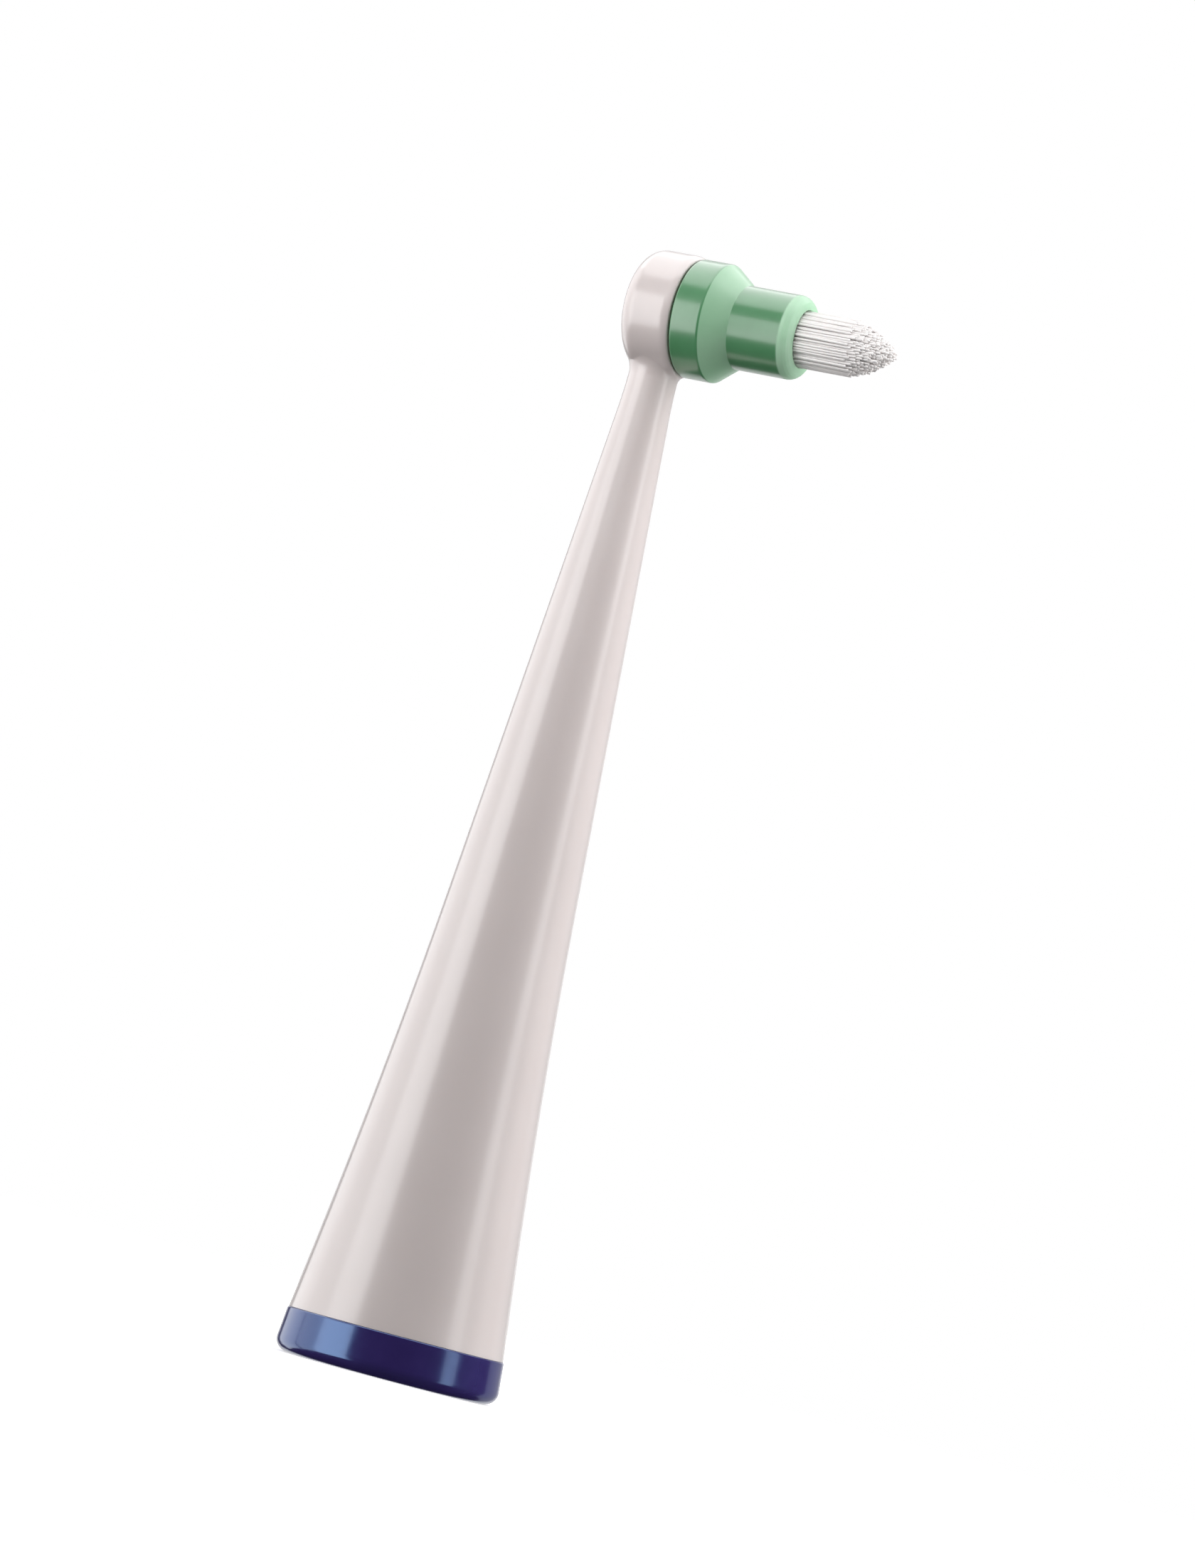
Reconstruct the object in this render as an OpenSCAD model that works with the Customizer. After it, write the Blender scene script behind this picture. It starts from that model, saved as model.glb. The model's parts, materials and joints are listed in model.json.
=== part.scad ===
// Interspace brush attachment for an oscillating electric toothbrush.
// A tapered neck carries a round head. A bent rod inside it swings to and fro, and its
// ball end rocks a carrier with one pointed tuft about an axis square to the neck.
// +Z runs up the neck from the foot, +X is the way the tuft points. Millimetres.

/* [Neck shell] */
// Overall height, from the foot to the top of the head
overall_h = 80; // [79:0.5:82]
// Outer radius of the shell where it meets the ring
shell_base_r = 7.55; // [7.4:0.05:7.7]
// Outer radius of the neck under the head
neck_r = 1.72; // [1.7:0.02:1.9]
// Radius gained by the straight taper for each millimetre down the neck
neck_taper = 0.0745; // [0.073:0.0005:0.076]
// Height below which the taper flares out to the base
flare_z = 33; // [30:1:36]

/* [Head] */
// Outer radius of the round head
head_r = 4.3; // [4.25:0.05:4.4]
// Depth of the head, back to rim
head_depth = 3.9; // [3.8:0.05:4]
// Rounding of the head's back edge
head_round = 0.9; // [0.6:0.1:1]
// Inner radius of the cup in the head
cup_r = 3.55; // [3.5:0.05:3.6]

/* [Identity ring] */
// Height of the coloured ring
ring_h = 3.05; // [2.8:0.05:3.2]
// Outer radius of the ring near its foot
ring_r = 7.8; // [7.75:0.05:7.9]
// Rounding of the ring's foot edge
ring_round = 0.9; // [0.6:0.1:1]

/* [Handle fit] */
// Radius of the socket that slides over the handle's neck
socket_r = 4.6; // [4.5:0.05:4.65]
// Length of the plain socket bore, below the latch chamber
socket_l = 11.5; // [11:0.5:12]
// Radius of the coupler bore that takes the handle's drive shaft
shaft_bore_r = 1.55; // [1.5:0.05:1.6]
// Length of that round bore
shaft_bore_l = 5; // [4.5:0.5:5]

/* [Drive] */
// Radius of the drive rod
rod_r = 0.65; // [0.6:0.05:0.65]
// Distance from the rod's axis to the centre of the ball on its bent end
crank_reach = 2.75; // [2.7:0.05:2.8]
// Distance of that ball below the carrier's axis
crank_drop = 2.6; // [2.55:0.05:2.65]
// Radius of that ball
ball_r = 0.55; // [0.5:0.01:0.55]

/* [Carrier] */
// Radius of the carrier's flange
flange_r = 4.15; // [4.1:0.05:4.2]
// Width of the flange
flange_w = 2.35; // [2.3:0.05:2.5]
// Length of the cone between flange and nose
cone_l = 1.45; // [1.3:0.05:1.6]
// Radius of the nose that holds the tuft
nose_r = 2.93; // [2.85:0.02:2.99]
// Length of the nose
nose_l = 4.65; // [4.5:0.05:5]

/* [Tuft] */
// Radius of the bristle tuft
tuft_r = 1.96; // [1.9:0.02:1.96]
// Length of bristle that stands out of the nose
tuft_free = 7.1; // [6.5:0.1:7.5]
// Length of the pointed end of the tuft
tip_l = 3.5; // [3:0.1:4]

/* [Hidden] */
$fn = 96;

slip = 0.02;          // gap between pieces that sit in each other
run = 0.03;           // radial running clearance
eps = 0.5;            // how far a cutter passes the face that it cuts
neck_z = 70;          // height where the taper ends at neck_r
head_z = overall_h - head_r;
back_x = -2.1;        // back of the head
rim_x = back_x + head_depth;
cup_floor_x = -1.1;   // inside of the head's back wall
rim_round = 1;        // soft turn of the wall towards the rim, which the rim face cuts off
rim_turn = 37;        // degrees of that turn
web_gap = 0.2;        // how far the fillet under the head stops short of the rim
blend_r = 1.6;        // rounding between neck and head
bore_r = 0.95;        // rod tunnel in the neck

spigot_r = 6.75;      // end of the shell that the ring is pressed on
spigot_z = 0.65;
seat_r = 5.38;        // seat of the socket insert in the shell
seat_mouth_r = 6.25;  // the seat's wider mouth at the foot
seat_cone_z = 10.5;
seat_top_z = 14;
hollow_r = 4.9;       // tapered hollow above the seat, at its foot
hollow_top_r = 2.05;  // and at its top
bush_z = 52;
bush_l = 8;
bush_r = 1.5;

axle_r = 0.65;
axle_end_x = 3.3;
boss_r = 1.3;         // boss round the axle on the cup's floor
boss_x = -0.75;
lock_r = 0.4;         // retaining pin
lock_x = 0.35;
lock_tip = 1.4;       // how near the carrier's axis the pin's tip comes

gap_x = 0.1;          // gap between the head's rim and the flange
flange_x = rim_x + gap_x;
cone_x = flange_x + flange_w;
nose_x = cone_x + cone_l;
tip_x = nose_x + nose_l;       // front of the nose
hub_r = 1.75;                  // carrier's hub inside the cup
hub_x = boss_x + gap_x;
nose_round = 0.84;
well_x = 5.5;                  // bottom of the tuft's well
well_r = tuft_r + 2 * slip;
root_r = 2.3;                  // fused root of the tuft
root_l = 0.5;
shoulder_x = tip_x + tuft_free - tip_l;

coupler_z = 16;
key_z = coupler_z + shaft_bore_l;
key_top_z = 24.3;
key_r = 1.35;         // keyed bore for the end of the handle's shaft
key_flat = 0.85;
coupler_r = 2.7;
stem_r = 1.5;
stem_z = 28;
stem_top_z = 31;
rod_z = 25.2;         // foot of the rod in the coupler
rod_flat = 0.42;      // flat that keys the rod's foot
crank_z = head_z - crank_drop;
bend_r = 0.85;        // centre line of the rod's bend
finger_r = 0.28;      // waist behind the ball, thin enough to slant in the slot
finger_x = 1.55;
clip_z = 17.4;
clip_w = 1.5;
clip_r = 2.25;        // groove that the clip sits in

flare = (shell_base_r - neck_r - neck_taper * (neck_z - ring_h)) / pow(flare_z - ring_h, 2);

// Outer radius of the shell at height z
function shell_r(z) = neck_r + neck_taper * (neck_z - z) + flare * pow(max(0, flare_z - z), 2);

// Points along an arc about c
function arc(c, r, a0, a1, n = 6) =
    [for (i = [0:n]) c + r * [cos(a0 + (a1 - a0) * i / n), sin(a0 + (a1 - a0) * i / n)]];

// Radius of the tuft's pointed end, u from 0 at its shoulder to 1 at the point
function tip_r(u) = tuft_r * (1 - u) * (1 + 0.75 * u) + 0.12 * u;

// A shape turned about the carrier's axis; points are [radius, x]
module turned_on_x(points)
    translate([0, 0, head_z]) rotate([0, 90, 0]) rotate_extrude() polygon(points);

// A rod along +X at the carrier's height, or off by z
module bar_x(r, x0, x1, z = 0)
    translate([x0, 0, head_z + z]) rotate([0, 90, 0]) cylinder(r = r, h = x1 - x0);

// A round bar along Z
module bar_z(r, z0, z1, x = 0) translate([x, 0, z0]) cylinder(r = r, h = z1 - z0);

// A round bar along Z with one flat facing -X
module keyed_bar(r, flat, z0, z1)
    intersection() {
        bar_z(r, z0, z1);
        translate([-flat, -2 * r, z0 - eps]) cube([4 * r, 4 * r, z1 - z0 + 2 * eps]);
    }

// Tapered neck with its flare, and a fillet tangent to the neck and to the round head
module neck_outside() {
    rings = [for (z = [ring_h : 3 : flare_z]) [shell_r(z), z]];
    top_z = head_z - head_r + 1;
    centre_r = neck_r + blend_r;
    centre_z = head_z - sqrt(pow(head_r + blend_r, 2) - pow(centre_r, 2));
    end_angle = 180 - atan2(head_z - centre_z, centre_r);
    end_z = centre_z + blend_r * sin(end_angle);
    rotate_extrude() polygon(concat([[0, spigot_z], [spigot_r, spigot_z], [spigot_r, ring_h]], rings,
        [[shell_r(flare_z), flare_z], [neck_r, neck_z], [neck_r, top_z], [0, top_z]]));
    // The fillet is trimmed to the depth of the head
    intersection() {
        rotate_extrude() polygon(concat([[0, centre_z]],
            arc([centre_r, centre_z], blend_r, 180, end_angle), [[0, end_z]]));
        translate([back_x + head_round / 2, -head_r, centre_z - eps])
            cube([head_depth - head_round / 2 - web_gap, 2 * head_r, end_z - centre_z + 2 * eps]);
    }
}

module head_outside()
    turned_on_x(concat([[0, back_x]],
        arc([head_r - head_round, back_x + head_round], head_round, 270, 360),
        arc([head_r - rim_round, rim_x - rim_round * sin(rim_turn)], rim_round, 0, rim_turn, 4),
        [[0, rim_x]]));

module neck_hollow()
    rotate_extrude() polygon([[0, 0], [seat_mouth_r, 0], [seat_mouth_r, ring_h], [seat_r, seat_cone_z],
        [seat_r, seat_top_z], [hollow_r, seat_top_z], [hollow_top_r, bush_z], [bush_r, bush_z],
        [bush_r, bush_z + bush_l], [bore_r, bush_z + bush_l],
        [bore_r, head_z - cup_r + 0.7], [0, head_z - cup_r + 0.7]]);

module neck_shell() color("whitesmoke") difference() {
    union() {
        neck_outside();
        head_outside();
    }
    neck_hollow();
    // Cup, with the boss left standing on its floor
    turned_on_x([[boss_r, cup_floor_x], [cup_r, cup_floor_x], [cup_r, rim_x + eps],
                 [0, rim_x + eps], [0, boss_x], [boss_r, boss_x]]);
    bar_x(axle_r + slip / 2, cup_floor_x - 0.7, rim_x);
    bar_z(lock_r + slip / 2, head_z, overall_h + eps, lock_x);
}

module id_ring() color("navy") rotate_extrude()
    polygon(concat([[seat_mouth_r - 0.2, 0]],
        arc([ring_r - ring_round, ring_round], ring_round, 270, 360),
        arc([shell_base_r + 0.07 - 0.12, ring_h - 0.12], 0.12, 0, 90, 3),
        [[spigot_r + slip, ring_h], [spigot_r + slip, spigot_z - slip],
         [seat_mouth_r - 0.2, spigot_z - slip]]));

// Sleeve over the handle's neck, with ribs out to the shell, a keyway and two latch tongues
module socket_insert() {
    sleeve_r = seat_r - slip;
    foot_r = seat_mouth_r - 0.2 - slip;
    foot_h = spigot_z - slip;
    rib_r = seat_mouth_r - slip;
    ribs = 8;
    rib_angle = 8;
    tongue_w = 3;
    tongue_z = 4;
    slit = 0.45;
    latch_r = socket_r + 0.25;
    latch_l = 1.5;
    hook_z = socket_l + 0.1;
    hook_h = 0.7;
    hook_in = 0.3;
    guide_r = 3.2;
    color("gainsboro") difference() {
        union() {
            bar_z(sleeve_r, 0, seat_top_z - slip);
            bar_z(foot_r, 0, foot_h);
            for (i = [0:ribs - 1]) rotate([0, 0, 360 / ribs * (i + 0.5) - rib_angle / 2])
                rotate_extrude(angle = rib_angle) polygon([[sleeve_r - 0.2, foot_h + slip],
                    [rib_r, foot_h + slip], [rib_r, ring_h], [seat_r - slip, seat_cone_z - slip],
                    [sleeve_r - 0.2, seat_cone_z - slip]]);
        }
        // Plain bore, then the latch chamber that widens above it, less the two tongues' hooks
        difference() {
            rotate_extrude() polygon([[0, -eps], [socket_r, -eps], [socket_r, socket_l],
                [latch_r, socket_l + latch_l], [0, socket_l + latch_l]]);
            for (side = [-1, 1]) intersection() {
                translate([-tongue_w / 2, side * socket_r - hook_in, hook_z])
                    cube([tongue_w, 2 * hook_in, hook_h]);
                difference() {
                    bar_z(socket_r + eps, hook_z, hook_z + hook_h);
                    bar_z(socket_r - hook_in, hook_z - eps, hook_z + hook_h + eps);
                }
            }
        }
        // Hole for the shaft in the stop above the chamber
        bar_z(guide_r, 0, seat_top_z + eps);
        // Keyway at the back
        translate([-sleeve_r - 1, -1, -eps]) cube([sleeve_r - socket_r + 1.5, 2, 9 + eps]);
        // Slits that free the tongues, and the thinned outside that lets them bend
        for (side = [-1, 1]) {
            for (edge = [-1, 1]) translate([edge * (tongue_w + slit) / 2 - slit / 2,
                    side > 0 ? 3 : -sleeve_r - 1.5, tongue_z])
                cube([slit, sleeve_r - 1.5, hook_z + 1 - tongue_z]);
            translate([-tongue_w / 2 - slit, side > 0 ? 3.5 : -sleeve_r - 1, hook_z + 0.75])
                cube([tongue_w + 2 * slit, sleeve_r - 2.5, 0.3]);
            translate([-tongue_w / 2, side > 0 ? socket_r + 0.4 : -sleeve_r - 1, tongue_z])
                cube([tongue_w, sleeve_r - socket_r + 0.6, hook_z + 0.75 - tongue_z]);
        }
    }
}

module neck_bush() color("ivory") difference() {
    union() {
        bar_z(bush_r - slip, bush_z - 0.7, bush_z + bush_l - slip);
        bar_z(hollow_top_r - 0.1, bush_z - 0.8, bush_z - slip);
    }
    bar_z(rod_r + run, bush_z - 2, bush_z + bush_l + eps);
}

module axle_pin() color("silver") bar_x(axle_r, cup_floor_x - 0.65, axle_end_x);

module retaining_pin() color("silver") bar_z(lock_r, head_z + lock_tip, overall_h - 0.06, lock_x);

// Straight rod with a flat on its foot; its top is bent over, necked down and ends in a ball
module drive_rod() color("silver") union() {
    bend_z = crank_z - bend_r;
    keyed_bar(rod_r, rod_flat, rod_z, stem_z + 1);
    bar_z(rod_r, stem_z + 1, bend_z);
    translate([bend_r, 0, bend_z]) rotate([90, 0, 0]) rotate([0, 0, 90])
        rotate_extrude(angle = 90) translate([bend_r, 0]) circle(r = rod_r);
    translate([bend_r, 0, crank_z]) rotate([0, 90, 0])
        cylinder(r1 = rod_r, r2 = finger_r, h = finger_x - bend_r);
    translate([finger_x, 0, crank_z]) rotate([0, 90, 0])
        cylinder(r = finger_r, h = crank_reach - finger_x);
    translate([crank_reach, 0, crank_z]) sphere(r = ball_r);
}

// Coupler on the foot of the rod: jaws below, keyed bore above them, rod socket on top
module rod_coupler() color("white") difference() {
    rotate_extrude() polygon([[0, coupler_z], [coupler_r - 0.3, coupler_z], [coupler_r, coupler_z + 0.3],
        [coupler_r, clip_z], [clip_r, clip_z], [clip_r, clip_z + clip_w], [coupler_r, clip_z + clip_w],
        [coupler_r, stem_z - 2], [stem_r, stem_z], [stem_r, stem_top_z - 0.3],
        [stem_r - 0.3, stem_top_z], [0, stem_top_z]]);
    bar_z(shaft_bore_r, coupler_z - eps, key_z);
    keyed_bar(key_r, key_flat, key_z - eps, key_top_z);
    keyed_bar(rod_r + slip / 2, rod_flat + slip / 2, rod_z - slip, stem_z + 1);
    bar_z(rod_r + slip / 2, stem_z + 1 - slip, stem_top_z + eps);
    // Slit between the two jaws
    translate([-0.25, -coupler_r - 1, coupler_z - eps]) cube([0.5, 2 * coupler_r + 2, 4 + eps]);
}

// Open spring clip that closes the coupler's jaws on the shaft
module coupler_clip() color("silver") {
    mouth = 70;
    rotate([0, 0, 180 + mouth / 2]) rotate_extrude(angle = 360 - mouth)
        polygon([[clip_r + slip, clip_z + 0.1], [clip_r + 0.62, clip_z + 0.1],
                 [clip_r + 0.62, clip_z + clip_w - 0.1], [clip_r + slip, clip_z + clip_w - 0.1]]);
}

// Carrier: hub and groove in the cup, flange, cone and nose outside it
module tuft_carrier() {
    groove = 0.45;
    slot_w = ball_r + 0.05;
    slot_in = crank_drop - slot_w;
    slot_out = 3.42;
    edge = 0.18;
    color("mediumseagreen") difference() {
        turned_on_x(concat([[0, hub_x], [hub_r, hub_x], [hub_r, lock_x - groove],
            [lock_tip - 0.1, lock_x - groove], [lock_tip - 0.1, lock_x + groove],
            [hub_r, lock_x + groove], [hub_r, flange_x]],
            arc([flange_r - edge, flange_x + edge], edge, 270, 360, 3),
            arc([flange_r - 0.3, cone_x - 0.3], 0.3, 0, 50, 3), [[nose_r, nose_x]],
            arc([nose_r - nose_round, tip_x - nose_round], nose_round, 0, 90), [[0, tip_x]]));
        bar_x(axle_r + run, hub_x - eps, axle_end_x + 0.15);
        bar_x(well_r, well_x, tip_x + eps);
        bar_x(root_r + slip, well_x, well_x + root_l + slip);
        // Radial slot for the rod's ball
        translate([flange_x - eps, -slot_w, head_z - slot_out + slot_w])
            cube([crank_reach + ball_r + 0.15 - flange_x + eps, 2 * slot_w,
                  slot_out - slot_w - slot_in - slot_w / 2]);
        for (z = [slot_in + slot_w, slot_out - slot_w])
            bar_x(slot_w, flange_x - eps, crank_reach + ball_r + 0.15, -z);
    }
}

// The bundle of bristles as one closed solid, on the button that its root is fused into
module tuft() {
    steps = 10;
    color("ghostwhite") turned_on_x(concat(
        [[0, well_x + slip], [root_r, well_x + slip], [root_r, well_x + root_l], [tuft_r, well_x + root_l]],
        [for (i = [0:steps]) [tip_r(i / steps), shoulder_x + tip_l * i / steps]],
        [[0, tip_x + tuft_free]]));
}

neck_shell();
id_ring();
socket_insert();
neck_bush();
axle_pin();
retaining_pin();
drive_rod();
rod_coupler();
coupler_clip();
tuft_carrier();
tuft();
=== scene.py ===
# Looks of an interspace brush attachment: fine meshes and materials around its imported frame.
# Lengths are in metres, in the frame's own axes: +Z runs up the neck from the foot, and +X is
# the way the tuft points. Radii and places are measured on the frame's own pieces, and small
# roundings and gaps are named here.
import itertools
import json
import math
import random

import bmesh
import bpy
import numpy as np
from mathutils import Matrix, Vector, noise
from mathutils.bvhtree import BVHTree


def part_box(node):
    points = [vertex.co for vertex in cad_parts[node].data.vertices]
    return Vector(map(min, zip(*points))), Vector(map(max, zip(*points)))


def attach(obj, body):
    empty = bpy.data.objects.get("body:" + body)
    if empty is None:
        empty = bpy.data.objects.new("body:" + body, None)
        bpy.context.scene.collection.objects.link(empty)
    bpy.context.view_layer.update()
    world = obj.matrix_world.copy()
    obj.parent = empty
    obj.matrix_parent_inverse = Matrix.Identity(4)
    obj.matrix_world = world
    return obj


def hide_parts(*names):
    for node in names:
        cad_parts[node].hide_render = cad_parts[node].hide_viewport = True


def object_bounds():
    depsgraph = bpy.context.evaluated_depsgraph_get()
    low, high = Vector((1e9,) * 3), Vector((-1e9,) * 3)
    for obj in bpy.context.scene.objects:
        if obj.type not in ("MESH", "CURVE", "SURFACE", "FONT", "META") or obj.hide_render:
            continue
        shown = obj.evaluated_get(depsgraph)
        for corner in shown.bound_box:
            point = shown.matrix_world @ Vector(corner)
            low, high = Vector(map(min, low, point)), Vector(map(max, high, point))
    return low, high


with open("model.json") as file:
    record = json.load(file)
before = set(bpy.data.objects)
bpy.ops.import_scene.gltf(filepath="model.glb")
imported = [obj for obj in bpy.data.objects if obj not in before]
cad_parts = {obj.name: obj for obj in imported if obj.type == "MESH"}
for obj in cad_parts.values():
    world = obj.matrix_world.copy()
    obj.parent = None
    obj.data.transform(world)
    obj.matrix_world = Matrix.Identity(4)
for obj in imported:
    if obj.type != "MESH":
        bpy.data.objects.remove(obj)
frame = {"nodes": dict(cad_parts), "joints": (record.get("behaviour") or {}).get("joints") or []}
cad_low, cad_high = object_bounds()

MM = 0.001
TAU = 2 * math.pi
SIDES = 160               # sides of a turned piece


# ---------------------------------------------------------------- measuring the frame

class Axis:
    """A line that pieces are turned about. Places run along it, and radii stand out from it."""

    def __init__(self, origin, along, side):
        self.origin, self.along, self.side = Vector(origin), Vector(along), Vector(side)
        self.up = self.along.cross(self.side)

    def point(self, radius, place, angle=0.0):
        spoke = self.side * math.cos(angle) + self.up * math.sin(angle)
        return self.origin + self.along * place + spoke * radius

    def measure(self, point):
        """(radius, place) of a point."""
        offset = point - self.origin
        place = offset.dot(self.along)
        return (offset - self.along * place).length, place


def joint_place(name):
    return next(j["pos_m"] for j in frame["joints"] if j["name"] == name)


def tree_of(node):
    mesh = frame["nodes"][node].data
    return BVHTree.FromPolygons([v.co for v in mesh.vertices], [list(p.vertices) for p in mesh.polygons])


NECK = Axis((0, 0, 0), (0, 0, 1), (1, 0, 0))
HEAD = Axis(joint_place("carrier_swing"), (1, 0, 0), (0, 0, 1))
TREES = {node: tree_of(node) for node in frame["nodes"]}
REACH = 2 * (cad_high - cad_low).length


def outer_radius(node, axis, place, rays=120):
    """Radius of a node's outside at a place along an axis."""
    found = 0.0
    for i in range(rays):
        start = axis.point(REACH, place, TAU * i / rays)
        hit = TREES[node].ray_cast(start, axis.point(0, place) - start)[0]
        if hit is not None:
            found = max(found, REACH - (hit - start).length)
    return found


def inner_radius(node, axis, place, rays=120):
    """Radius of a node's bore at a place along an axis, where most of its wall is."""
    centre = axis.point(0, place)
    spokes = [axis.point(1, place, TAU * i / rays) - centre for i in range(rays)]
    hits = [TREES[node].ray_cast(centre, spoke)[0] for spoke in spokes]
    return float(np.median([(hit - centre).length for hit in hits if hit is not None]))


def face_place(node, axis, radius, direction):
    """Place of the first face that a ray meets, running along (1) or against (-1) an axis."""
    start = axis.point(radius, -direction * REACH)
    return axis.measure(TREES[node].ray_cast(start, axis.along * direction)[0])[1]


def outline(node, axis, high=math.inf):
    """Corners (radius, place) of a node's outside, in order along an axis."""
    beside = 2e-6
    near = 0.03 * MM          # how far a ring may be from where the ray met the outside
    rings = {}
    for vertex in frame["nodes"][node].data.vertices:
        radius, place = axis.measure(vertex.co)
        if place < high:
            rings.setdefault(round(place, 6), set()).add(round(radius, 6))
    corners = []
    for place in sorted(rings):
        for side in (-beside, beside):
            seen = outer_radius(node, axis, place + side)
            corner = (min(rings[place], key=lambda r: abs(r - seen)), place)
            if abs(corner[0] - seen) < near and corner not in corners:
                corners.append(corner)
    return corners


# ---------------------------------------------------------------- mesh building

def softened(corners, most, steps=5):
    """An outline with each inner corner bent, from at most `most` before it to as much after it."""
    made = [Vector(corners[0])]
    for before, here, after in zip(corners, corners[1:], corners[2:]):
        a, b, c = Vector(before), Vector(here), Vector(after)
        reach = min(most, (a - b).length / 2, (c - b).length / 2)
        start, end = b + (a - b).normalized() * reach, b + (c - b).normalized() * reach
        for i in range(steps + 1):
            t = i / steps
            made.append(start * (1 - t) ** 2 + b * (2 * t * (1 - t)) + end * t ** 2)
    made.append(Vector(corners[-1]))
    return [tuple(p) for p in made]


def add_rings(bm, points, axis, sides=SIDES):
    """Adds points (radius, place), turned about an axis, and gives the rings of vertices."""
    rings = []
    for radius, place in points:
        count = sides if radius > 1e-7 else 1
        rings.append([bm.verts.new(axis.point(radius, place, TAU * i / sides)) for i in range(count)])
    for a, b in zip(rings, rings[1:]):
        add_band(bm, a, b, sides)
    return rings


def add_band(bm, a, b, sides=SIDES):
    for i in range(sides):
        j = i + 1
        corners = [a[i % len(a)], a[j % len(a)], b[j % len(b)], b[i % len(b)]]
        corners = list(dict.fromkeys(corners))
        if len(corners) > 2:
            bm.faces.new(corners)


def finished(name, bm, sharp=35):
    """An object from a bmesh, shaded smooth but for edges sharper than an angle in degrees."""
    bmesh.ops.recalc_face_normals(bm, faces=bm.faces)
    mesh = bpy.data.meshes.new(name)
    bm.to_mesh(mesh)
    bm.free()
    made = bpy.data.objects.new(name, mesh)
    bpy.context.scene.collection.objects.link(made)
    shade(made, sharp)
    return made


def shade(made, sharp=35):
    made.data.polygons.foreach_set("use_smooth", [True] * len(made.data.polygons))
    made.data.set_sharp_from_angle(angle=math.radians(sharp))


def turned(name, points, axis, sides=SIDES):
    """A solid of revolution. An outline whose ends are off the axis is closed on itself."""
    bm = bmesh.new()
    rings = add_rings(bm, points, axis, sides)
    if points[0][0] > 0:
        add_band(bm, rings[-1], rings[0], sides)
    return finished(name, bm)


def carve(target, *cutters):
    """Cuts the cutters out of a piece and removes them."""
    for cutter in cutters:
        step = target.modifiers.new("cut", "BOOLEAN")
        step.operation, step.solver, step.object = "DIFFERENCE", "MANIFOLD", cutter
    apply_modifiers(target)
    for cutter in cutters:
        bpy.data.objects.remove(cutter)
    shade(target)


def apply_modifiers(target):
    seen = target.evaluated_get(bpy.context.evaluated_depsgraph_get())
    mesh = bpy.data.meshes.new_from_object(seen)
    target.modifiers.clear()
    target.data = mesh


def stitch(bm, lower, upper):
    """Triangles between two rings of vertices round the Z axis, with any number in each."""
    def angle(vertex):
        return math.atan2(vertex.co.y, vertex.co.x)

    a, b = sorted(lower, key=angle), sorted(upper, key=angle)
    i = j = 0
    while i < len(a) or j < len(b):
        next_a = angle(a[i + 1]) if i + 1 < len(a) else angle(a[0]) + TAU
        next_b = angle(b[j + 1]) if j + 1 < len(b) else angle(b[0]) + TAU
        low, high = a[i % len(a)], b[j % len(b)]
        if j == len(b) or (i < len(a) and next_a <= next_b):
            i += 1
            bm.faces.new((low, a[i % len(a)], high))
        else:
            j += 1
            bm.faces.new((low, b[j % len(b)], high))


# ---------------------------------------------------------------- surfaces from distances

def merged(a, b, soft):
    """Two distances as one body, with a soft inner corner."""
    mix = np.clip(soft - np.abs(a - b), 0, None) / soft
    return np.minimum(a, b) - mix * mix * soft / 4


def trimmed(a, b, soft):
    """What two distances have in common, with a soft edge."""
    return -merged(-a, -b, soft)


def drawn_to(distance, points, rounds=4):
    """Points moved onto the surface where a distance is zero."""
    step = 1e-6
    flattest = 0.2            # least squared slope, which keeps a step short at a crease
    for _ in range(rounds):
        here = distance(points)
        slope = np.stack([(distance(points + step * np.eye(3)[k]) - distance(points - step * np.eye(3)[k]))
                          / (2 * step) for k in range(3)], 1)
        size = np.maximum((slope ** 2).sum(1), flattest)
        points = points - slope * (here / size)[:, None]
    return points


def surface_of(distance, low, high, cell):
    """A mesh (points, quads) of the surface where a distance is zero, inside a box."""
    counts = np.ceil((high - low) / cell).astype(int) + 1
    lines = [low[k] + cell * np.arange(counts[k]) for k in range(3)]
    grid = np.stack(np.meshgrid(*lines, indexing="ij"), -1).reshape(-1, 3)
    inside = (distance(grid) < 0).reshape(counts)
    filled = np.zeros(counts - 1, int)
    for shift in itertools.product((0, 1), repeat=3):
        filled += inside[tuple(slice(s, s + c - 1) for s, c in zip(shift, counts))]
    active = (filled > 0) & (filled < 8)
    number = np.full(active.shape, -1)
    number[active] = np.arange(active.sum())
    points = low + cell * (np.argwhere(active) + 0.5)
    quads = []
    for k in range(3):
        u, v = (k + 1) % 3, (k + 2) % 3
        here = inside.take(range(counts[k] - 1), axis=k)
        there = inside.take(range(1, counts[k]), axis=k)
        edges = np.argwhere(here != there)
        inner = [(edges[:, w] > 0) & (edges[:, w] < counts[w] - 1) for w in (u, v)]
        edges = edges[inner[0] & inner[1]]
        corners = []
        for du, dv in ((0, 0), (1, 0), (1, 1), (0, 1)):
            cells = edges.copy()
            cells[:, u] -= du
            cells[:, v] -= dv
            corners.append(number[tuple(cells.T)])
        quads.append(np.stack(corners, 1))
    quads = np.concatenate(quads)
    # Even out the quads, keeping the points on the surface
    for _ in range(4):
        points = drawn_to(distance, points, 2)
        total, count = np.zeros_like(points), np.zeros(len(points))
        middles = points[quads].mean(1)
        for corner in range(4):
            np.add.at(total, quads[:, corner], middles)
            np.add.at(count, quads[:, corner], 1)
        points = total / np.maximum(count, 1)[:, None]
    return drawn_to(distance, points), quads


# ---------------------------------------------------------------- sizes from the frame

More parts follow.
